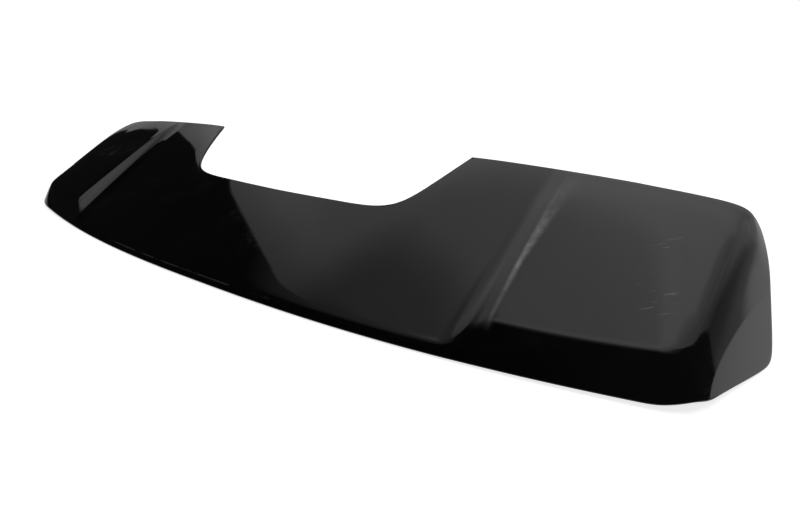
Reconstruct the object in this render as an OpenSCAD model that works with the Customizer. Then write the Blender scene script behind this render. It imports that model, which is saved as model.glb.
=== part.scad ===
// Rear roof spoiler moulded as one thin, open-backed shell.
// X runs across the car, Y towards its front and Z up. The origin lies on the
// centre plane, under the front edge of the channel, where the shell is bonded.

/* [Plan] */
// Width between the side flanks, level with the ends of the trailing edge
flank_w = 1125; // [1040:1:1220]
// Depth of the channel on the centre plane, front edge to trailing edge
channel_d = 161; // [140:1:190]
// Width between the ends of the trailing edge
tail_w = 969; // [920:1:1000]
// How far the middle of the trailing edge stands behind its ends
tail_bow = 38.5; // [20:0.5:60]
// Reach of the two arms ahead of the channel, at the notch corners
arm_reach = 119; // [90:1:150]
// Extra reach of the arms at their outer corners
arm_sweep = 3.4; // [0:0.2:15]
// Width of the notch between the arms at its mouth
notch_w = 483; // [400:1:540]
// Angle of the notch sides to the front edge
notch_angle = 71.7; // [60:0.1:80]
// Softness of the two rounded corners at the root of the notch
notch_round = 69; // [30:1:90]

/* [Heights] */
// Fall of the top from the channel's front edge to the trailing edge, at the centre
channel_fall = 10; // [4:0.5:20]
// Extra fall of the channel's rear end at the foot of the humps
channel_camber = 7.3; // [0:0.1:15]
// Height of the trailing lip at the centre
lip_h = 4.9; // [2:0.1:8]
// Fall of the lower trailing edge from its middle to its ends
tail_camber = 17.6; // [8:0.1:30]
// Fall of the front edge from the centre to the outer corners
front_crown = 22.9; // [8:0.1:32]
// Roll of the arms down to their front edges
arm_roll = 5; // [0:0.5:12]
// Length of that roll, as a share of the depth
arm_roll_share = 0.35; // [0.2:0.05:0.5]

/* [Humps] */
// Width between the two ridges at the trailing edge
ridge_w = 769; // [720:1:800]
// Width between the two ridges at the front edge
ridge_front_w = 736; // [700:1:780]
// Height of each ridge above the channel, at the trailing edge
hump_h = 19; // [10:0.1:28]
// How the ridge's height dies out towards the front, from blunt to slender
hump_taper = 0.52; // [0.4:0.02:1.2]
// Width of the hollow flank beside each ridge, at the trailing edge
cove_w = 48.5; // [36:0.5:80]
// Width of the hollow flank at the front edge
cove_front_w = 24; // [16:1:50]
// Hollowness of that flank
cove_power = 2.2; // [1.6:0.1:3]
// Fall of each hump outwards, in millimetres for each millimetre of width
hump_fall = 0.072; // [0.02:0.001:0.12]

/* [Rear face and sides] */
// Slope of the rear face to the horizontal
rear_angle = 37; // [30:0.5:50]
// Slope of the side flanks to the horizontal
flank_angle = 62.5; // [55:0.1:72]
// Drop of the lower corner of each flank below the ends of the trailing edge
ear_drop = 71; // [40:0.5:90]
// Place of that corner along the side, from 0 at the rear to 1 at the front
ear_place = 0.46; // [0.35:0.01:0.6]
// Share of the side, from the rear, before the lower edge starts to drop
ear_start = 0.01; // [0:0.01:0.12]
// Rounding of that corner
ear_round = 0.22; // [0.05:0.01:0.3]
// How far each flank turns in towards the front corner
front_turn = 9.5; // [4:0.5:25]
// Length of that turn
front_turn_l = 55; // [30:1:80]
// Width of the rounded rear corner of the outline
corner_w = 43.5; // [25:1:60]
// Length of that corner, as a share of the depth
corner_share = 0.12; // [0.05:0.005:0.2]
// Squareness of that corner: 2 is a quarter of an ellipse, more is squarer
corner_power = 2.8; // [1.6:0.1:4]
// Softness of the edge along the top of the rear face
rear_edge = 3.5; // [2:0.1:8]
// Softness of the outer shoulders
shoulder = 19; // [10:0.5:30]
// Softness of the corner between rear face and flank
rear_corner = 13.5; // [8:0.5:32]

/* [Moulding] */
// Thickness of the wall
wall = 3.5; // [2.5:0.1:5]

/* [Hidden] */

// Powers of the curves, each the same over the whole part
BOW_POWER = 2.3;
CROWN_POWER = 3;
ROLL_POWER = 2;
TURN_POWER = 2.2;
SPREAD_POWER = 1.5;
// How far past their ends the turn, the roll and the spread run on
TURN_LIMIT = 1.3;
RUN_ON = 2;
// Small rounding of the outline's front corners: its width, and its share of the depth
FRONT_CORNER = 6;
FRONT_CORNER_SHARE = 0.06;
// Distance from the ends of the trailing edge to the start of the sides
SIDE_START = 15;
// Height over which the sharp rear edge gives way to the soft shoulder, and the share of it
// that the change is through where rear face and flank meet
SOFTENING_H = 60;
SOFTENING_SHARE = 0.78;
// Start and length of the rise of the datum line, in half-widths of the notch
DATUM_START = 0.37;
DATUM_LENGTH = 0.83;

// Stations of the mesh: across each stretch of one half, and along the depth
ACROSS = [5, 8, 5, 6, 5, 17];
REAR_ROWS = 18;
FRONT_ROWS = 12;
REAR_CROWDING = 1.6;
FRONT_CROWDING = 1.5;
// Width of the stretch that holds the shoulder and the flank
SHOULDER_ZONE = 64;
// Step used to measure the slope of the surface
STEP = 0.4;

// Key places
half_w = flank_w / 2;
tail_half = tail_w / 2;
tail_end_y = tail_bow - channel_d;
notch_half = notch_w / 2;
notch_root = notch_half * 0.62;
arm_outer_y = arm_reach + arm_sweep;
cove_foot = ridge_w / 2 - cove_w;
top_z = wall;
tail_mid_z = top_z - channel_fall - lip_h;
tail_end_z = tail_mid_z - tail_camber;

// Soft minimum and soft maximum of two heights, which round an edge over k
function soft_min(a, b, k) = (a + b - sqrt((a - b) * (a - b) + k * k)) / 2;
function soft_max(a, b, k) = (a + b + sqrt((a - b) * (a - b) + k * k)) / 2;
function clamp(t, low = 0, high = 1) = max(low, min(high, t));
function mix(a, b, t) = a + (b - a) * t;
function ease(t) = let (c = clamp(t)) c * c * (3 - 2 * c);
// Rounded corner: 0 at t = 0, falling away to 1 at t = 1
function corner(t, power = 2) = 1 - pow(1 - pow(clamp(t), power), 1 / power);

// Trailing edge in plan and in height, at the distance s from the centre plane
function tail_y(s) = tail_end_y - tail_bow * (1 - pow(s / tail_half, BOW_POWER));
function tail_z(s) = tail_mid_z - tail_camber * pow(s / tail_half, 2);

// Front edge in plan: the channel, the side of the notch and the arm
function arm_y(s) = arm_reach + arm_sweep * (s - notch_half) / (half_w - notch_half);
function notch_y(s) =
    let (at_corner = arm_reach - notch_round * notch_round / (4 * arm_reach))
    soft_max(0, at_corner - tan(notch_angle) * (notch_half - s), notch_round);
function front_y(s) = min(notch_y(s), arm_y(s));
// Smooth line near the front edge, from which the heights are set out
function datum_y(s) = arm_reach * ease((s / notch_half - DATUM_START) / DATUM_LENGTH);
function share(s, y) = (y - tail_y(s)) / (datum_y(s) - tail_y(s));

// Top of the shell without its humps: crowned in front, sunk at the rear
function front_z(s) = top_z - front_crown * pow(s / half_w, CROWN_POWER);
function base_z(s, t) =
    let (
        rear = tail_mid_z + lip_h - channel_camber * pow(s / cove_foot, 2),
        roll = arm_roll * ease(s / notch_half * 2 - 1),
        past = clamp((t - 1) / arm_roll_share + 1, 0, RUN_ON)
    )
    mix(rear, front_z(s) + roll, t) - roll * pow(past, ROLL_POWER);

// Ridge of the hump and the hollow flank beside it
function ridge_s(t) = mix(ridge_w, ridge_front_w, t) / 2;
function cove(t) = mix(cove_w, cove_front_w, t);
function hump(t) = hump_h * pow(clamp(1 - t), hump_taper);
function hump_z(s, t) =
    let (
        r = ridge_s(t),
        spread = pow(clamp(t, 0, RUN_ON), SPREAD_POWER)
    )
    base_z(r, t) + hump(t) + (front_z(s) - front_z(r)) * spread
        - hump_fall * (s - r) * (1 - spread);
function channel_z(s, t) =
    let (away = clamp((ridge_s(t) - s) / cove(t)))
    base_z(s, t) + hump(t) * pow(1 - away, cove_power);
function top_of(s, y) =
    let (t = share(s, y))
    s >= ridge_s(t) ? hump_z(s, t) : channel_z(s, t);

// Rear face and side flank, and the whole outer surface
function rear_of(s, y) = tail_z(s) + tan(rear_angle) * (y - tail_y(s));
function turn(y) =
    let (along = (y - arm_outer_y) / front_turn_l + 1)
    front_turn * pow(clamp(along, 0, TURN_LIMIT), TURN_POWER);
function flank_of(s, y) = tail_end_z + tan(flank_angle) * (half_w - turn(y) - s);
function outer_z(s, y) =
    let (
        rear = rear_of(s, y),
        side = flank_of(s, y),
        softness = mix(rear_edge, shoulder, ease((rear - side) / SOFTENING_H + SOFTENING_SHARE))
    )
    soft_min(top_of(s, y), soft_min(side, rear, rear_corner), softness);

// Half-width of the outline at the share w of the depth, 0 at the rear
function ear(w) =
    let (down = max(0, w - ear_start) / (ear_place - ear_start))
    soft_min(down, (1 - w) / (1 - ear_place), ear_round);
function outline_s(w) =
    let (y = mix(tail_end_y + SIDE_START, arm_outer_y, w))
    half_w - turn(y) + ear_drop * ear(w) / tan(flank_angle)
        - corner_w * corner(1 - w / corner_share, corner_power)
        - FRONT_CORNER * corner((w - 1) / FRONT_CORNER_SHARE + 1);

// Shares of the depth at which the rows of the mesh lie
rows = [
    for (i = [0 : REAR_ROWS - 1]) ear_place * pow(i / REAR_ROWS, REAR_CROWDING),
    for (i = [0 : FRONT_ROWS]) 1 - (1 - ear_place) * pow(1 - i / FRONT_ROWS, FRONT_CROWDING)
];
// Distances from the centre plane at which one row has its points
function row_stops(w) =
    let (r = ridge_s(w))
    [0, notch_root, notch_half, r - cove(w), r, half_w - SHOULDER_ZONE, outline_s(w)];
function half_row(w) =
    let (stops = row_stops(w))
    [
        for (k = [0 : len(ACROSS) - 1])
            for (i = [0 : ACROSS[k] - 1]) mix(stops[k], stops[k + 1], i / ACROSS[k]),
        stops[len(ACROSS)]
    ];

function plan_y(s, w) = mix(tail_y(s), front_y(s), w);
function unit(v) = v / norm(v);
function slope_across(s, y) = (outer_z(s + STEP, y) - outer_z(abs(s - STEP), y)) / (2 * STEP);
function slope_along(s, y) = (outer_z(s, y + STEP) - outer_z(s, y - STEP)) / (2 * STEP);
function normal_at(s, y) = unit([-slope_across(s, y), -slope_along(s, y), 1]);
// One point of the skin on the right half, at the given depth under the outside
function skin_point(s, w, depth) =
    let (y = plan_y(s, w))
    [s, y, outer_z(s, y)] - depth * normal_at(s, y);
function mirrored(p) = [-p[0], p[1], p[2]];
function skin_row(w, depth) =
    let (
        right = [for (s = half_row(w)) skin_point(s, w, depth)],
        n = len(right)
    )
    [
        for (i = [n - 1 : -1 : 1]) mirrored(right[i]),
        [0, right[0][1], right[0][2]],
        for (i = [1 : n - 1]) right[i]
    ];

module spoiler_shell() {
    grid = [
        for (depth = [0, wall])
            for (w = rows) skin_row(w, depth)
    ];
    columns = len(grid[0]);
    count = len(rows);
    skin = count * columns;
    function at(row, column) = row * columns + column;
    outside = [
        for (i = [0 : count - 2])
            for (j = [0 : columns - 2])
                each [
                    [at(i, j), at(i + 1, j), at(i + 1, j + 1)],
                    [at(i, j), at(i + 1, j + 1), at(i, j + 1)]
                ]
    ];
    inside = [for (f = outside) [skin + f[2], skin + f[1], skin + f[0]]];
    // The outline, walked once round the outer skin
    outline = [
        for (j = [0 : columns - 2]) at(0, j),
        for (i = [0 : count - 2]) at(i, columns - 1),
        for (j = [columns - 1 : -1 : 1]) at(count - 1, j),
        for (i = [count - 1 : -1 : 1]) at(i, 0)
    ];
    turns = len(outline);
    edge = [
        for (k = [0 : turns - 1])
            let (a = outline[k], b = outline[(k + 1) % turns])
            each [[a, b, skin + b], [a, skin + b, skin + a]]
    ];
    color([0.05, 0.05, 0.055])
        polyhedron(points = [for (row = grid) each row], faces = concat(outside, inside, edge));
}

spoiler_shell();
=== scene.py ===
import math

import bpy
import numpy as np
from mathutils import Matrix, Vector


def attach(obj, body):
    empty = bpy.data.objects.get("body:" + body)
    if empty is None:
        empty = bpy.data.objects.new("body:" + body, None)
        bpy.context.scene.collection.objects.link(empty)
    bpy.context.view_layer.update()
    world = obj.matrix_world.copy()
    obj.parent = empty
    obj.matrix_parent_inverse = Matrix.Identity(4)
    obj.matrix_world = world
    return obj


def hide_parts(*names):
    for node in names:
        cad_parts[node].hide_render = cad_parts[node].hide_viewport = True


# A car's rear roof spoiler in gloss black, lying on a white sheet.
# X runs across the car, Y to its front and Z up. The part's sizes are in mm, all else is in metres.

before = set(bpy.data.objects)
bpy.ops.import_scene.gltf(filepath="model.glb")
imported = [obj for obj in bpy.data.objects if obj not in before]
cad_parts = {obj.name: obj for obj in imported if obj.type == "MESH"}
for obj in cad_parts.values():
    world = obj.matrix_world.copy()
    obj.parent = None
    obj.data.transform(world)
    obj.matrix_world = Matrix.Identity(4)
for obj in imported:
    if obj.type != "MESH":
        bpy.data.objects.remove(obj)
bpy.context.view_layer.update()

MM = 0.001
ACROSS = Vector((1, 0, 0))


def add_object(name, data):
    thing = bpy.data.objects.new(name, data)
    bpy.context.scene.collection.objects.link(thing)
    return thing


# Camera: its place, and the directions to its right and behind it
CAMERA_AT = Vector((0.63505, -0.38440, 0.43556))
CAMERA_RIGHT = Vector((0.790, 0.534, -0.301))
CAMERA_BACK = Vector((0.576, -0.481, 0.661))
LENS_MM = 27.9
SENSOR_MM = 36.0
CLIP_START = 0.01
CLIP_END = 60.0


def add_camera():
    back = CAMERA_BACK.normalized()
    up = back.cross(CAMERA_RIGHT).normalized()
    right = up.cross(back)
    data = bpy.data.cameras.new("camera")
    data.lens = LENS_MM
    data.sensor_width = SENSOR_MM
    data.clip_start = CLIP_START
    data.clip_end = CLIP_END
    camera = add_object("camera", data)
    facing = Matrix((right, up, back)).transposed().to_4x4()
    camera.matrix_world = Matrix.Translation(CAMERA_AT) @ facing
    bpy.context.scene.camera = camera


add_camera()

# Sizes in mm and degrees, as in the part's source. First the plan
FLANK_W = 1125.0  # between the side flanks, level with the ends of the trailing edge
CHANNEL_D = 161.0  # depth of the channel on the centre plane
TAIL_W = 969.0  # between the ends of the trailing edge
TAIL_BOW = 38.5  # how far the middle of the trailing edge stands behind its ends
ARM_REACH = 119.0  # reach of the arms ahead of the channel, at the notch corners
ARM_SWEEP = 3.4  # extra reach of the arms at their outer corners
NOTCH_W = 483.0  # width of the notch at its mouth
NOTCH_ANGLE = 71.7  # angle of its sides to the front edge
NOTCH_ROUND = 69.0  # softness of the two corners at its root
# Heights
CHANNEL_FALL = 10.0  # fall of the top from the channel's front edge to the trailing edge
CHANNEL_CAMBER = 7.3  # extra fall of the channel's rear end at the foot of the humps
LIP_H = 4.9  # height of the trailing lip at the centre
TAIL_CAMBER = 17.6  # fall of the lower trailing edge from its middle to its ends
FRONT_CROWN = 22.9  # fall of the front edge from the centre to the outer corners
ARM_ROLL = 5.0  # roll of the arms down to their front edges
ARM_ROLL_SHARE = 0.35  # length of that roll, as a share of the depth
# Humps
RIDGE_W = 769.0  # between the two ridges at the trailing edge
RIDGE_FRONT_W = 736.0  # between the two ridges at the front edge
HUMP_H = 19.0  # height of each ridge above the channel, at the trailing edge
HUMP_TAPER = 0.52  # how the ridge's height dies out towards the front
HUMP_FALL = 0.072  # fall of each hump outwards, for each millimetre of width
COVE_W = 48.5  # width of the hollow flank beside each ridge, at the trailing edge
COVE_FRONT_W = 24.0  # width of the hollow flank at the front edge
COVE_POWER = 2.2  # hollowness of that flank
# Rear face and sides
REAR_ANGLE = 37.0  # slope of the rear face to the horizontal
FLANK_ANGLE = 62.5  # slope of the side flanks to the horizontal
EAR_DROP = 71.0  # drop of each flank's lower corner below the ends of the trailing edge
EAR_PLACE = 0.46  # place of that corner along the side, from 0 at the rear to 1 at the front
EAR_START = 0.01  # share of the side, from the rear, before the lower edge starts to drop
EAR_ROUND = 0.22  # rounding of that corner
FRONT_TURN = 9.5  # how far each flank turns in towards the front corner
FRONT_TURN_L = 55.0  # length of that turn
CORNER_W = 43.5  # width of the rounded rear corner of the outline
CORNER_SHARE = 0.12  # length of that corner, as a share of the depth
CORNER_POWER = 2.8  # squareness of that corner
REAR_EDGE = 3.5  # softness of the edge along the top of the rear face
SHOULDER = 19.0  # softness of the outer shoulders
REAR_CORNER = 13.5  # softness of the corner between rear face and flank
WALL = 3.5  # thickness of the wall
# Powers of the curves
BOW_POWER = 2.3
CROWN_POWER = 3
ROLL_POWER = 2
TURN_POWER = 2.2
SPREAD_POWER = 1.5
# How far past their ends the turn, the roll and the spread run on
TURN_LIMIT = 1.3
RUN_ON = 2.0
# Small rounding of the outline's front corners: its width, and its share of the depth
FRONT_CORNER = 6.0
FRONT_CORNER_SHARE = 0.06
# Distance from the ends of the trailing edge to the start of the sides
SIDE_START = 15.0
# Height over which the sharp rear edge gives way to the soft shoulder, and the share of it
# that the change is through where rear face and flank meet
SOFTENING_H = 60.0
SOFTENING_SHARE = 0.78
# Start and length of the rise of the datum line, in half-widths of the notch
DATUM_START = 0.37
DATUM_LENGTH = 0.83
# Root of the notch's side, in the same half-widths
NOTCH_ROOT = 0.62

# Rounding that only the finished surface has, first along the ridges: how much, how far from
# the ridge it reaches, how late it fades towards the front, and the least that still counts
RIDGE_ROUND = 2.4
RIDGE_REACH = 16.0
RIDGE_FADE = 1.6
LEAST_ROUND = 1e-6
# How far past the ridge the hollow flank runs on under that rounding, as a share of its width
COVE_RUN_ON = 0.5
# Rounding along the free edge
EDGE_ROUND = 1.0

# Key places
half_w = FLANK_W / 2
tail_half = TAIL_W / 2
tail_end_y = TAIL_BOW - CHANNEL_D
notch_half = NOTCH_W / 2
notch_root = notch_half * NOTCH_ROOT
arm_outer_y = ARM_REACH + ARM_SWEEP
cove_foot = RIDGE_W / 2 - COVE_W
top_z = WALL
tail_mid_z = top_z - CHANNEL_FALL - LIP_H
tail_end_z = tail_mid_z - TAIL_CAMBER


def slope(degrees):
    return math.tan(math.radians(degrees))


def soft_min(a, b, k):
    """The smaller of two heights, with the edge between them rounded over k."""
    return (a + b - np.sqrt((a - b) ** 2 + k * k)) / 2


def soft_max(a, b, k):
    return (a + b + np.sqrt((a - b) ** 2 + k * k)) / 2


def mix(a, b, t):
    return a + (b - a) * t


def ease(t):
    t = np.clip(t, 0, 1)
    return t * t * (3 - 2 * t)


def corner(t, power=2.0):
    """A rounded corner: 0 at t = 0, falling away to 1 at t = 1."""
    return 1 - (1 - np.clip(t, 0, 1) ** power) ** (1 / power)


# The surface, at the distance s from the centre plane and the place y along the car
def tail_y(s):
    return tail_end_y - TAIL_BOW * (1 - (s / tail_half) ** BOW_POWER)


def tail_z(s):
    return tail_mid_z - TAIL_CAMBER * (s / tail_half) ** 2


def front_y(s):
    arm = ARM_REACH + ARM_SWEEP * (s - notch_half) / (half_w - notch_half)
    at_corner = ARM_REACH - NOTCH_ROUND ** 2 / (4 * ARM_REACH)
    notch = soft_max(0, at_corner - slope(NOTCH_ANGLE) * (notch_half - s), NOTCH_ROUND)
    return np.minimum(notch, arm)


def share(s, y):
    """Share of the depth, from the trailing edge to a smooth line near the front edge."""
    datum = ARM_REACH * ease((s / notch_half - DATUM_START) / DATUM_LENGTH)
    return (y - tail_y(s)) / (datum - tail_y(s))


def front_z(s):
    return top_z - FRONT_CROWN * (s / half_w) ** CROWN_POWER


def base_z(s, t):
    """Top of the shell without its humps: crowned in front, sunk at the rear."""
    rear = tail_mid_z + LIP_H - CHANNEL_CAMBER * (s / cove_foot) ** 2
    roll = ARM_ROLL * ease(s / notch_half * 2 - 1)
    past = np.clip((t - 1) / ARM_ROLL_SHARE + 1, 0, RUN_ON)
    return mix(rear, front_z(s) + roll, t) - roll * past ** ROLL_POWER


def ridge_s(t):
    return mix(RIDGE_W, RIDGE_FRONT_W, t) / 2


def cove(t):
    return mix(COVE_W, COVE_FRONT_W, t)


def top_of(s, y):
    """Top of the shell with its humps, and with the ridges rounded."""
    t = share(s, y)
    hump = HUMP_H * np.clip(1 - t, 0, 1) ** HUMP_TAPER
    r = ridge_s(t)
    spread = np.clip(t, 0, RUN_ON) ** SPREAD_POWER
    outer = (base_z(r, t) + hump + (front_z(s) - front_z(r)) * spread
             - HUMP_FALL * (s - r) * (1 - spread))
    away = np.clip((r - s) / cove(t), -COVE_RUN_ON, 1)
    inner = base_z(s, t) + hump * (1 - away) ** COVE_POWER
    crest = RIDGE_ROUND * np.clip(hump / HUMP_H * RIDGE_FADE, 0, 1)
    near = ease(1 - np.abs(s - r) / RIDGE_REACH)
    rounded = soft_min(outer, inner, crest + LEAST_ROUND)
    return mix(np.where(s >= r, outer, inner), rounded, near)


def turn(y):
    along = (y - arm_outer_y) / FRONT_TURN_L + 1
    return FRONT_TURN * np.clip(along, 0, TURN_LIMIT) ** TURN_POWER


def outer_z(x, y):
    """Height of the whole outer surface."""
    s = np.abs(x)
    rear = tail_z(s) + slope(REAR_ANGLE) * (y - tail_y(s))
    side = tail_end_z + slope(FLANK_ANGLE) * (half_w - turn(y) - s)
    softness = mix(REAR_EDGE, SHOULDER, ease((rear - side) / SOFTENING_H + SOFTENING_SHARE))
    return soft_min(top_of(s, y), soft_min(side, rear, REAR_CORNER), softness)


def outline_s(w):
    """Half-width of the outline at the share w of the depth, 0 at the rear."""
    y = mix(tail_end_y + SIDE_START, arm_outer_y, w)
    down = np.maximum(0, w - EAR_START) / (EAR_PLACE - EAR_START)
    ear = soft_min(down, (1 - w) / (1 - EAR_PLACE), EAR_ROUND)
    return (half_w - turn(y) + EAR_DROP * ear / slope(FLANK_ANGLE)
            - CORNER_W * corner(1 - w / CORNER_SHARE, CORNER_POWER)
            - FRONT_CORNER * corner((w - 1) / FRONT_CORNER_SHARE + 1))


# Rows of the mesh along the depth: the rear zone's share of the depth, the rows in it and in
# the rest, and how close the first and the last row lie to the edges
REAR_ZONE = 0.27
REAR_ROWS = 56
FRONT_ROWS = 60
EDGE_ROW = 0.0062
# Columns of the mesh in each stretch of one half, from the centre plane to the shoulder: how
# many, and how they crowd towards the stretch's inner and outer end
STRETCHES = ((10, 1.0, 1.0), (26, 1.0, 1.0), (10, 1.0, 1.0), (30, 1.0, 1.7), (22, 2.2, 1.0))
# Width of the zone that holds the shoulder and the flank, its columns, the share of the depth
# over which they fan out, and the points that measure the length of the rear corner
SHOULDER_ZONE = 64
SIDE_COLUMNS = 44
FAN_SHARE = 0.30
CORNER_POINTS = 60
# Steps that measure the slope of the surface, at the free edge and for the wall's inside
FINE_STEP = 0.3
BROAD_STEP = 5.0
# Points round each rounded corner of the free edge
EDGE_POINTS = 5

shoulder_from = half_w - SHOULDER_ZONE


def stations(count, crowd_inner, crowd_outer):
    """count steps from 0 to 1 without the last one, crowded towards an end whose power is over 1."""
    t = np.arange(count) / count
    return mix(t ** crowd_inner, 1 - (1 - t) ** crowd_outer, t)


def half_grid():
    """Distance from the centre plane and share of the depth of each point of one half."""
    rear = np.linspace(EDGE_ROW, REAR_ZONE, REAR_ROWS)
    front = np.linspace(REAR_ZONE, 1 - EDGE_ROW, FRONT_ROWS)
    rows = np.concatenate([[0], rear, front[1:], [1]])
    one = np.ones_like(rows)
    r = ridge_s(rows)
    stops = [0 * one, notch_root * one, notch_half * one, r - cove(rows), r, shoulder_from * one]
    s_columns, w_columns = [], []
    for inner, outer, stretch in zip(stops, stops[1:], STRETCHES):
        for f in stations(*stretch):
            s_columns.append(mix(inner, outer, f))
            w_columns.append(rows)
    # The last stretch: its columns end all round the rear corner of the outline
    quarter = np.linspace(0, math.pi / 2, CORNER_POINTS)
    corner_w = CORNER_SHARE * (1 - np.cos(quarter) ** (2 / CORNER_POWER))
    rim_w = np.concatenate([[0], corner_w])
    rim_s = np.concatenate([[shoulder_from], outline_s(corner_w)])
    rim_y = mix(tail_y(rim_s), front_y(rim_s), rim_w)
    length = np.concatenate([[0], np.cumsum(np.hypot(np.diff(rim_s), np.diff(rim_y)))])
    fan = ease(rows / FAN_SHARE)
    for f in np.arange(SIDE_COLUMNS + 1) / SIDE_COLUMNS:
        start_s = np.interp(f * length[-1], length, rim_s)
        start_w = np.interp(f * length[-1], length, rim_w)
        w = start_w + (1 - start_w) * rows
        s = mix(start_s, shoulder_from + f * (outline_s(w) - shoulder_from), fan)
        if f == 1:
            s = outline_s(w)
        s_columns.append(s)
        w_columns.append(w)
    return np.array(s_columns), np.array(w_columns)


def unit(v):
    return v / np.linalg.norm(v, axis=-1, keepdims=True)


def normals(x, y, step):
    across = (outer_z(x + step, y) - outer_z(x - step, y)) / (2 * step)
    along = (outer_z(x, y + step) - outer_z(x, y - step)) / (2 * step)
    return unit(np.stack([-across, -along, np.ones_like(x)], -1))


def outline_walk(columns, rows):
    """Grid places once round the outline: trailing edge, right side, front edge, left side."""
    places = [(i, 0) for i in range(columns - 1)]
    places += [(columns - 1, j) for j in range(rows - 1)]
    places += [(i, rows - 1) for i in range(columns - 1, 0, -1)]
    places += [(0, j) for j in range(rows - 1, 0, -1)]
    return np.array(places).T


def edge_loops(rim, down):
    """Loops of points over the free edge: a rounded corner, a flat and a second rounded corner."""
    ahead = unit(np.roll(rim, -1, 0) - rim)
    behind = unit(rim - np.roll(rim, 1, 0))
    out = unit(np.cross(unit(ahead + behind), -down))
    quarter = np.linspace(0, math.pi / 2, EDGE_POINTS)
    sunk = EDGE_ROUND * (1 - np.cos(quarter))
    held_in = EDGE_ROUND * (1 - np.sin(quarter))
    depths = np.concatenate([sunk, WALL - sunk[::-1]])
    insets = np.concatenate([held_in, held_in[::-1]])
    return [rim + depth * down - inset * out for depth, inset in zip(depths, insets)]


def shell_mesh():
    s, w = half_grid()
    y = mix(tail_y(s), front_y(s), w)
    x = np.concatenate([-s[:0:-1], s])
    y = np.concatenate([y[:0:-1], y])
    outer = np.stack([x, y, outer_z(x, y)], -1)
    inner = outer - WALL * normals(x, y, BROAD_STEP)
    columns, rows = x.shape
    a, b = outline_walk(columns, rows)
    loops = edge_loops(outer[a, b], -normals(x, y, FINE_STEP)[a, b])
    outer[a, b] = loops[0]
    inner[a, b] = loops[-1]
    points = np.concatenate([outer.reshape(-1, 3), inner.reshape(-1, 3), *loops[1:-1]]) * MM
    # Faces of the outside, of the inside and of the edge between them
    size = columns * rows
    index = np.arange(size).reshape(columns, rows)
    corners = [index[:-1, :-1], index[1:, :-1], index[1:, 1:], index[:-1, 1:]]
    quads = np.stack(corners, -1).reshape(-1, 4)
    turns = len(a)
    rings = [index[a, b]]
    rings += [2 * size + k * turns + np.arange(turns) for k in range(len(loops) - 2)]
    rings.append(size + index[a, b])
    edge = [np.stack([up, low, np.roll(low, -1), np.roll(up, -1)], -1)
            for up, low in zip(rings, rings[1:])]
    faces = np.concatenate([quads, size + quads[:, ::-1]] + edge)
    mesh = bpy.data.meshes.new("spoiler_surface")
    mesh.from_pydata(points.tolist(), [], faces.tolist())
    mesh.validate()
    mesh.update()
    mesh.shade_smooth()
    return mesh


class Graph:
    """Short calls that add nodes to one emptied node tree."""

    def __init__(self, tree):
        tree.nodes.clear()
        self.tree = tree

    def add(self, kind, inputs=None, **settings):
        node = self.tree.nodes.new(kind)
        for name, value in settings.items():
            setattr(node, name, value)
        for key, value in (inputs or {}).items():
            self.put(node.inputs[key], value)
        return node

    def put(self, socket, value):
        if isinstance(value, bpy.types.NodeSocket):
            self.tree.links.new(value, socket)
        else:
            socket.default_value = value

    def show(self, shader, kind="ShaderNodeOutputMaterial"):
        self.add(kind, {0: shader.outputs[0]})

    def math(self, operation, a, b=0.0, c=0.0):
        return self.add("ShaderNodeMath", {0: a, 1: b, 2: c}, operation=operation).outputs[0]

    def times(self, first, *others):
        for other in others:
            first = self.math("MULTIPLY", first, other)
        return first

    def add_shares(self, total, *parts):
        """total plus each part's value times its amount."""
        for value, amount in parts:
            total = self.math("MULTIPLY_ADD", value, amount, total)
        return total

    def rise(self, value, low, high, out_low=0.0, out_high=1.0):
        """A smooth change from out_low at low to out_high at high."""
        keys = {"Value": value, "From Min": low, "From Max": high, "To Min": out_low, "To Max": out_high}
        return self.add("ShaderNodeMapRange", keys, interpolation_type="SMOOTHSTEP").outputs[0]

    def fall(self, value, low, high):
        return self.rise(value, low, high, 1.0, 0.0)

    def window(self, value, start, full, fading, end):
        """One from full to fading, and nothing before start or after end."""
        return self.times(self.rise(value, start, full), self.fall(value, fading, end))

    def along(self, vector, axis):
        node = self.add("ShaderNodeVectorMath", {0: vector, 1: axis}, operation="DOT_PRODUCT")
        return node.outputs["Value"]


class Finish(Graph):
    """Patterns in the part's own coordinates."""

    def __init__(self, tree):
        super().__init__(tree)
        self.place = self.add("ShaderNodeTexCoord").outputs["Object"]
        self.x, self.y = self.add("ShaderNodeSeparateXYZ", {0: self.place}).outputs[:2]

    def noise(self, scale, detail=2.0, rough=0.5, place=None):
        if place is None:
            place = self.place
        keys = {"Vector": place, "Scale": scale, "Detail": detail, "Roughness": rough}
        return self.add("ShaderNodeTexNoise", keys).outputs["Fac"]

    def stretched(self, scale, angle, stretch):
        """Coordinates whose pattern is drawn out along a line at the angle to X."""
        keys = {"Vector": self.place, "Rotation": (0, 0, math.radians(angle)),
                "Scale": (1 / scale, 1 / scale / stretch, 1 / scale)}
        return self.add("ShaderNodeMapping", keys, vector_type="TEXTURE").outputs[0]

    def spot(self, x, y, radius):
        """One in the core of a round place on the surface, and nothing outside it."""
        apart = self.add("ShaderNodeVectorMath", {0: self.place, 1: (x, y, 0)}, operation="DISTANCE")
        return self.fall(apart.outputs["Value"], SPOT_CORE * radius, radius)


# Marks and painted highlights on the lacquer. A noise runs from 0 to 1, and a band (low, high) of it makes
# a pattern
SPOT_CORE = 0.35
# Hairline scratches: angle and scale of each set, how far they are drawn out, and their patches
HAIR_SETS = ((12, 22.0), (-31, 16.0), (74, 19.0))
HAIR_STRETCH = 26.0
HAIR_NOISE = 3.0
HAIR_BAND = (0.66, 0.74)
HAIR_PATCH_NOISE = 7.0
HAIR_PATCH_BAND = (0.50, 0.66)
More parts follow.
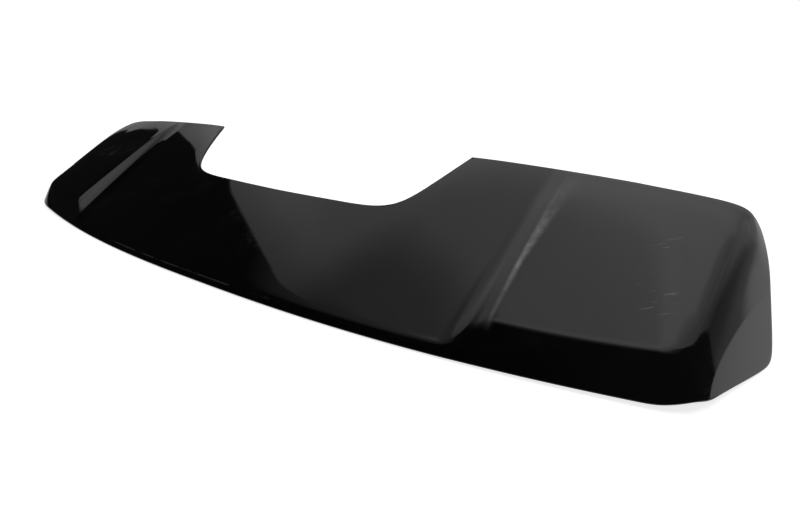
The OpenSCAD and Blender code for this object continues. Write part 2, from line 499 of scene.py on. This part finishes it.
# Scuffs on the right hump: scale, angle and stretch of their strokes, and the two places (x, y,
# radius) that have them, the second one more faintly
STROKE = (14.0, 34, 10.0)
STROKE_NOISE = 3.0
STROKE_BAND = (0.65, 0.71)
SCUFF_AT = (0.509, -0.032, 0.034)
FAINT_SCUFF_AT = (0.504, 0.034, 0.024)
FAINT_SCUFF = 0.8
# Smudge on the left hump
SMUDGE_AT = (-0.452, 0.012, 0.034)
SMUDGE_NOISE = 70.0
SMUDGE_BAND = (0.52, 0.68)
# Dust and a painted highlight along the right ridge: how far its line reaches to either side, and how
# far off the ridge it lies. From the place along Y where it leaves the ridge, it drifts outwards and
# widens, for each metre ahead
DUST_AND_HIGHLIGHT_LINE = 0.0054
DUST_AND_HIGHLIGHT_OFF_RIDGE = 0.001
DUST_AND_HIGHLIGHT_LEAVES_AT = -0.028
DUST_AND_HIGHLIGHT_DRIFT = 0.07
DUST_AND_HIGHLIGHT_WIDENS = 12.0
# Where along Y the dust and painted highlight start, are full, fade and end, the same for their thick
# middle, and across the ridge for the veil of painted highlight beside it
DUST_AND_HIGHLIGHT_SPAN = (-0.113, -0.100, 0.06, 0.12)
DUST_AND_HIGHLIGHT_THICK_SPAN = (-0.075, -0.035, -0.020, 0.075)
VEIL_SPAN = (-0.030, -0.006, 0.0, 0.006)
DUST_AND_HIGHLIGHT_NOISE = 110.0
DUST_AND_HIGHLIGHT_NOISE_ROUGH = 0.65
DUST_AND_HIGHLIGHT_BAND = (0.34, 0.66)
DUST_AND_HIGHLIGHT_LEAST = 0.5
# Painted highlight along the top edge of the trailing lip: distance from the edge, half-widths of its
# core and of the whole, where along X it starts, is full, fades and ends, and the noise that breaks it
LIP_HIGHLIGHT_FROM_EDGE = 0.0074
LIP_HIGHLIGHT_HALF_WIDTHS = (0.0003, 0.0013)
LIP_HIGHLIGHT_SPAN = (-0.24, -0.20, 0.10, 0.15)
LIP_HIGHLIGHT_NOISE = 30.0
LIP_HIGHLIGHT_BAND = (0.36, 0.56)
# Specks, and the haze of handling with the scale, angle and stretch of its pattern
SPECK_NOISE = 620.0
SPECK_BAND = (0.82, 0.88)
HAZE = (6.0, 20, 1.8)
HAZE_NOISE = 1.0
HAZE_NOISE_ROUGH = 0.62
HAZE_BAND = (0.44, 0.78)
# How pale the lacquer, its marks and its painted highlights are
BLACK = 0.0024
# The line along the right ridge is partly dust and partly painted highlight, and the veil beside it is
# painted highlight
DUST_AND_HIGHLIGHT_PALE = 0.07
DUST_AND_HIGHLIGHT_THICK_PALE = 0.24
VEIL_PALE = 0.05
SCUFF_PALE = 0.10
SMUDGE_PALE = 0.03
# The line on the trailing lip is a painted highlight
LIP_HIGHLIGHT_PALE = 0.05
SCRATCH_PALE = 0.006
SPECK_PALE = 0.010
HAZE_PALE = 0.008
# Blue of all that, as a share of its red and green
BLUE_SHARE = 1.04
# How rough the lacquer is, and how much rougher under its marks
CLEAN_ROUGH = 0.035
HAZE_ROUGH = 0.018
SCRATCH_ROUGH = 0.14
VEIL_ROUGH = 0.20
SPECK_ROUGH = 0.20
# Unevenness of the lacquer in mm: orange peel, slow waviness of the moulding, and scratches
PEEL_NOISE = 260.0
PEEL_H = 0.0016
WAVE_NOISE = 11.0
WAVE_H = 0.06
SCRATCH_DEPTH = 0.003
LACQUER_IOR = 1.5

# The right ridge in plan is a straight line: its slant, and its place where Y is 0
ridge_tail_y = float(tail_y(RIDGE_W / 2))
ridge_slant = (RIDGE_FRONT_W - RIDGE_W) / 2 / (ARM_REACH - ridge_tail_y)
ridge_at = (RIDGE_W / 2 - ridge_slant * ridge_tail_y) * MM


def hairlines(g):
    lines = 0.0
    for angle, scale in HAIR_SETS:
        hair = g.noise(HAIR_NOISE, detail=1.0, place=g.stretched(scale, angle, HAIR_STRETCH))
        lines = g.math("MAXIMUM", lines, g.rise(hair, *HAIR_BAND))
    return g.times(lines, g.rise(g.noise(HAIR_PATCH_NOISE, detail=3.0), *HAIR_PATCH_BAND))


def scuffs(g):
    strokes = g.rise(g.noise(STROKE_NOISE, place=g.stretched(*STROKE)), *STROKE_BAND)
    faint = g.times(g.spot(*FAINT_SCUFF_AT), FAINT_SCUFF)
    return g.times(strokes, g.math("MAXIMUM", g.spot(*SCUFF_AT), faint))


def ridge_dust_and_highlight(g):
    """Dust and a painted highlight along the right ridge, as a pale line and a veil beside it, and the
    veil alone.
    """
    past = g.math("SUBTRACT", g.x, g.math("MULTIPLY_ADD", g.y, ridge_slant, ridge_at))
    ahead = g.math("MAXIMUM", g.math("SUBTRACT", g.y, DUST_AND_HIGHLIGHT_LEAVES_AT), 0.0)
    middle = g.math("MULTIPLY_ADD", ahead, DUST_AND_HIGHLIGHT_DRIFT, DUST_AND_HIGHLIGHT_OFF_RIDGE)
    apart = g.math("ABSOLUTE", g.math("SUBTRACT", past, middle))
    apart = g.math("DIVIDE", apart, g.math("MULTIPLY_ADD", ahead, DUST_AND_HIGHLIGHT_WIDENS, 1.0))
    paleness = g.math("MULTIPLY_ADD", g.window(g.y, *DUST_AND_HIGHLIGHT_THICK_SPAN), DUST_AND_HIGHLIGHT_THICK_PALE, DUST_AND_HIGHLIGHT_PALE)
    span = g.window(g.y, *DUST_AND_HIGHLIGHT_SPAN)
    veil = g.times(g.window(past, *VEIL_SPAN), span)
    noise = g.noise(DUST_AND_HIGHLIGHT_NOISE, detail=4.0, rough=DUST_AND_HIGHLIGHT_NOISE_ROUGH)
    grain = g.rise(noise, *DUST_AND_HIGHLIGHT_BAND, DUST_AND_HIGHLIGHT_LEAST, 1.0)
    line = g.times(g.fall(apart, 0.0, DUST_AND_HIGHLIGHT_LINE), paleness, span, grain)
    return g.add_shares(line, (veil, VEIL_PALE)), veil


def lip_highlight_line(g):
    """A painted highlight along the top edge of the trailing lip, broken here and there."""
    bow = g.math("POWER", g.times(g.math("ABSOLUTE", g.x), 1 / (tail_half * MM)), BOW_POWER)
    edge = g.math("MULTIPLY_ADD", bow, TAIL_BOW * MM, (tail_end_y - TAIL_BOW) * MM)
    past = g.math("SUBTRACT", g.math("SUBTRACT", g.y, edge), LIP_HIGHLIGHT_FROM_EDGE)
    line = g.fall(g.math("ABSOLUTE", past), *LIP_HIGHLIGHT_HALF_WIDTHS)
    left_over = g.rise(g.noise(LIP_HIGHLIGHT_NOISE, detail=3.0), *LIP_HIGHLIGHT_BAND)
    return g.times(line, g.window(g.x, *LIP_HIGHLIGHT_SPAN), left_over)


def lacquer():
    material = bpy.data.materials.new("black_lacquer")
    material.use_nodes = True
    g = Finish(material.node_tree)
    scratch = hairlines(g)
    smudge = g.times(g.spot(*SMUDGE_AT), g.rise(g.noise(SMUDGE_NOISE, detail=4.0), *SMUDGE_BAND))
    dust_and_highlight, veil = ridge_dust_and_highlight(g)
    specks = g.rise(g.noise(SPECK_NOISE, detail=0.0), *SPECK_BAND)
    haze = g.noise(HAZE_NOISE, detail=5.0, rough=HAZE_NOISE_ROUGH, place=g.stretched(*HAZE))
    haze = g.rise(haze, *HAZE_BAND)
    rough = g.add_shares(CLEAN_ROUGH, (haze, HAZE_ROUGH), (scratch, SCRATCH_ROUGH), (veil, VEIL_ROUGH),
                         (specks, SPECK_ROUGH))
    # Paleness of the marks, with the dust and painted highlight along the right ridge and the painted
    # highlight on the trailing lip
    pale = g.add_shares(dust_and_highlight, (scuffs(g), SCUFF_PALE), (smudge, SMUDGE_PALE), (lip_highlight_line(g), LIP_HIGHLIGHT_PALE),
                        (scratch, SCRATCH_PALE), (specks, SPECK_PALE), (g.times(haze, haze), HAZE_PALE))
    pale = g.math("ADD", pale, BLACK)
    blue = g.times(pale, BLUE_SHARE)
    tone = g.add("ShaderNodeCombineColor", {0: pale, 1: pale, 2: blue}).outputs[0]
    peel = g.times(g.noise(PEEL_NOISE), PEEL_H)
    height = g.add_shares(peel, (g.noise(WAVE_NOISE, detail=1.0), WAVE_H), (scratch, -SCRATCH_DEPTH))
    bump = g.add("ShaderNodeBump", {"Strength": 1.0, "Distance": MM, "Height": height}).outputs[0]
    g.show(g.add("ShaderNodeBsdfPrincipled", {"Base Color": tone, "Roughness": rough, "Normal": bump,
                                              "IOR": LACQUER_IOR}))
    return material


shell = add_object("shell_surface", shell_mesh())
shell.data.materials.append(lacquer())
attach(shell, "root")
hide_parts("spoiler_shell")

# Floor: half the length of its sides, its gap under the part, and its white
FLOOR_HALF = 9.0
FLOOR_GAP = 0.0003
SHEET_WHITE = 0.80
# What the camera and the reflections see of it beyond the light that falls on it
CAMERA_GLOW = 0.78
MIRRORED_GLOW = 0.45
# Where in reflections it ends, across the part and along it
SHEET_ENDS_LEFT = (-0.85, -0.72)
SHEET_ENDS_BACK = (-0.14, -0.06)
# The part's points that can touch the floor: past this on the flanks, within this on the tail
FLANKS_FROM = 0.54
TAIL_WITHIN = 0.3
# Tilts in radians between which the floor's own is found, by halving the gap so many times
LEAST_TILT = 0.2
MOST_TILT = 0.8
HALVINGS = 40
# The darkest level in the room
DARK = 0.012


def resting_up(points):
    """Up direction and height of the surface on which the flanks and the trailing edge lie."""
    flanks = points[np.abs(points[:, 0]) > FLANKS_FROM]
    tail = points[np.abs(points[:, 0]) < TAIL_WITHIN]
    low, high = LEAST_TILT, MOST_TILT
    for _ in range(HALVINGS):
        tilt = (low + high) / 2
        up = np.array([0, math.sin(tilt), math.cos(tilt)])
        if (tail @ up).min() < (flanks @ up).min():
            high = tilt
        else:
            low = tilt
    return Vector(up), (points @ up).min()


def floor_material(front):
    material = bpy.data.materials.new("floor")
    material.use_nodes = True
    g = Graph(material.node_tree)
    path = g.add("ShaderNodeLightPath").outputs
    place = g.add("ShaderNodeTexCoord").outputs["Object"]
    by_camera = path["Is Camera Ray"]
    mirrored = g.math("MAXIMUM", path["Is Glossy Ray"], path["Is Transmission Ray"])
    glow = g.math("MAXIMUM", g.times(by_camera, CAMERA_GLOW), g.times(mirrored, MIRRORED_GLOW))
    lit = g.add("ShaderNodeBsdfDiffuse", {"Color": (SHEET_WHITE, SHEET_WHITE, SHEET_WHITE, 1)})
    glowing = g.add("ShaderNodeEmission", {"Color": (1, 1, 1, 1), "Strength": glow})
    sheet = g.add("ShaderNodeAddShader", {0: lit.outputs[0], 1: glowing.outputs[0]})
    # In reflections the white sheet ends behind the left end of the part
    past_left = g.fall(g.along(place, ACROSS), *SHEET_ENDS_LEFT)
    past_back = g.fall(g.along(place, front), *SHEET_ENDS_BACK)
    ended = g.times(mirrored, g.times(past_left, past_back))
    table = g.add("ShaderNodeBsdfDiffuse", {"Color": (DARK, DARK, DARK, 1)})
    seen = g.add("ShaderNodeMixShader", {0: ended, 1: sheet.outputs[0], 2: table.outputs[0]})
    # The sheet is one-sided: a camera under it looks through it
    below = g.times(g.add("ShaderNodeNewGeometry").outputs["Backfacing"], by_camera)
    clear = g.add("ShaderNodeBsdfTransparent")
    g.show(g.add("ShaderNodeMixShader", {0: below, 1: seen.outputs[0], 2: clear.outputs[0]}))
    return material


def add_floor():
    points = np.zeros(len(shell.data.vertices) * 3)
    shell.data.vertices.foreach_get("co", points)
    up, height = resting_up(points.reshape(-1, 3))
    front = up.cross(ACROSS)
    centre = up * (height - FLOOR_GAP)
    corners = [centre + ACROSS * a * FLOOR_HALF + front * b * FLOOR_HALF
               for a, b in ((-1, -1), (1, -1), (1, 1), (-1, 1))]
    mesh = bpy.data.meshes.new("floor")
    mesh.from_pydata([tuple(c) for c in corners], [], [(0, 1, 2, 3)])
    mesh.materials.append(floor_material(front))
    floor = add_object("floor", mesh)


add_floor()

# Directions of the level room in which the part lies nose up
ROOM_UP = Vector((0.0, 0.492, 0.871))
ROOM_FRONT = Vector((0.0, 0.871, -0.492))
# Light by height: elevation in degrees and level at each stop
LIT_STOPS = ((0, 0.38), (18, 0.37), (30, 0.47), (36, 0.56), (45, 0.73), (55, 0.97), (63, 1.06), (75, 1.22))
DARK_LEFT_STOPS = ((0, DARK), (42, DARK), (46, 0.12), (50, 0.20), (54, 0.29), (58, 0.37), (63, 0.48),
                   (70, 0.72), (78, 1.0))
DARK_RIGHT_STOPS = ((0, 0.04), (50, 0.04), (57, 0.2), (62, 0.55), (70, 1.0))
# Round patches of more or less light: azimuth, elevation, outer and inner radius in degrees,
# and level
LIT_PATCHES = (
    (-92, 67, 28, 6, -0.36), (-108, 57, 13, 5, -0.33), (-79, 33, 9, 3, 0.16), (-70, 14, 13, 6, 0.13),
    (-56, 16, 12, 5, -0.14), (42, 28, 16, 8, 0.18), (58, 14, 15, 8, -0.13), (58, 58, 14, 6, -0.25),
    (31, 15, 9, 4, 0.10),
)
DARK_LEFT_PATCH = (-150, 71, 18, 9, 0.55)
# A bright area low in front, and the sines of the elevations between which it ends
BRIGHT_PATCH = (30, 0, 16.5, 14, 0.42)
BRIGHT_TOP = (0.08, 0.17)
# The backdrop's slanting edges, each through two directions of azimuth and elevation
LEFT_EDGE = ((-70, 20), (-91.5, 41.3))
RIGHT_EDGE = ((52, 0), (80, 50))
# Distances from those edges, as sines, over which the light fades and the backdrop ends, and
# the level at the edge
LEFT_FADE = (0.0, 0.10)
LEFT_LEVEL = 0.62
LEFT_END = (-0.001, 0.003)
RIGHT_FADE = (-0.20, -0.04)
RIGHT_LEVEL = 0.76
RIGHT_END = (-0.008, 0.008)
# Below these sines of elevation the backdrop reaches all round the half that faces LOW_FACING
LOW_TOP = (0.33, 0.37)
LOW_FACING = (18.5, 0)
LOW_END = (-0.01, 0.01)
# Sines, across the room, between which the dark half's light changes from left to right
SIDE_CHANGE = (-0.15, 0.15)


def in_room(across, ahead, up):
    return ACROSS * across + ROOM_FRONT * ahead + ROOM_UP * up


def toward(azimuth, elevation):
    """Unit direction in the room: azimuth from the front, positive to the right."""
    a, e = math.radians(azimuth), math.radians(elevation)
    return in_room(math.cos(e) * math.sin(a), math.cos(e) * math.cos(a), math.sin(e))


class Room(Graph):
    """Light against direction."""

    def __init__(self, tree):
        super().__init__(tree)
        self.view = self.add("ShaderNodeTexCoord").outputs["Generated"]
        self.up = self.along(self.view, ROOM_UP)

    def by_height(self, stops):
        """Light against elevation, straight between the stops."""
        ramp = self.add("ShaderNodeValToRGB", {"Fac": self.up})
        ramp.color_ramp.interpolation = "LINEAR"
        dots = ramp.color_ramp.elements
        while len(dots) < len(stops):
            dots.new(0.5)
        for dot, (elevation, level) in zip(dots, stops):
            dot.position = math.sin(math.radians(elevation))
            dot.color = (level, level, level, 1)
        return ramp.outputs["Color"]

    def patch(self, azimuth, elevation, outer, inner, level):
        """A soft round patch of light."""
        near = self.along(self.view, toward(azimuth, elevation))
        return self.rise(near, math.cos(math.radians(outer)), math.cos(math.radians(inner)), 0.0, level)

    def past(self, first, second):
        """Sine of the distance from the edge through two directions."""
        return self.along(self.view, toward(*first).cross(toward(*second)).normalized())

    def blend(self, share_of, a, b):
        return self.add("ShaderNodeMix", {0: share_of, 2: a, 3: b}, data_type="FLOAT").outputs[0]


def add_room():
    world = bpy.data.worlds.new("studio")
    bpy.context.scene.world = world
    world.use_nodes = True
    g = Room(world.node_tree)
    # The lit half of the room: white backdrop below, soft ceiling light above
    lit = g.by_height(LIT_STOPS)
    for patch in LIT_PATCHES:
        lit = g.math("ADD", lit, g.patch(*patch))
    lit = g.math("ADD", lit, g.times(g.patch(*BRIGHT_PATCH), g.fall(g.up, *BRIGHT_TOP)))
    # The dark half behind the camera, under the same ceiling, on the left and on the right
    dark_left = g.math("ADD", g.by_height(DARK_LEFT_STOPS), g.patch(*DARK_LEFT_PATCH))
    dark_right = g.by_height(DARK_RIGHT_STOPS)
    dark = g.blend(g.rise(g.along(g.view, ACROSS), *SIDE_CHANGE), dark_left, dark_right)
    # The backdrop's edges
    left, right = g.past(*LEFT_EDGE), g.past(*RIGHT_EDGE)
    lit = g.times(lit, g.rise(left, *LEFT_FADE, LEFT_LEVEL, 1.0))
    lit = g.times(lit, g.rise(right, *RIGHT_FADE, 1.0, RIGHT_LEVEL))
    low = g.times(g.fall(g.up, *LOW_TOP), g.rise(g.along(g.view, toward(*LOW_FACING)), *LOW_END))
    inside = g.times(g.math("MAXIMUM", g.rise(left, *LEFT_END), low), g.fall(right, *RIGHT_END))
    # The camera sees white all round
    by_camera = g.add("ShaderNodeLightPath").outputs["Is Camera Ray"]
    strength = g.math("MAXIMUM", g.blend(inside, dark, lit), by_camera)
    back = g.add("ShaderNodeBackground", {"Color": (1, 1, 1, 1), "Strength": strength})
    g.show(back, "ShaderNodeOutputWorld")


# A black flag close above the part's left end, which only reflections show: its place in the
# room, the azimuth and elevation that it faces, its radius and the sides of its outline
FLAG_AT = (-0.584, -0.076, 0.136)
FLAG_FACING = (-98, 30)
FLAG_RADIUS = 0.17
FLAG_SIDES = 48


def add_flag():
    centre = in_room(*FLAG_AT)
    facing = toward(*FLAG_FACING)
    side = facing.cross(ROOM_UP).normalized()
    rise = side.cross(facing)
    turns = [math.tau * k / FLAG_SIDES for k in range(FLAG_SIDES)]
    rim = [tuple(centre + (side * math.cos(a) + rise * math.sin(a)) * FLAG_RADIUS) for a in turns]
    mesh = bpy.data.meshes.new("flag")
    mesh.from_pydata(rim, [], [tuple(range(FLAG_SIDES))])
    material = bpy.data.materials.new("flag")
    material.use_nodes = True
    g = Graph(material.node_tree)
    g.show(g.add("ShaderNodeEmission", {"Color": (1, 1, 1, 1), "Strength": DARK}))
    mesh.materials.append(material)
    flag = add_object("flag", mesh)
    flag.visible_camera = False
    flag.visible_diffuse = False
    flag.visible_shadow = False
    flag.visible_transmission = False


add_room()
add_flag()
bpy.context.scene.view_settings.view_transform = "Standard"
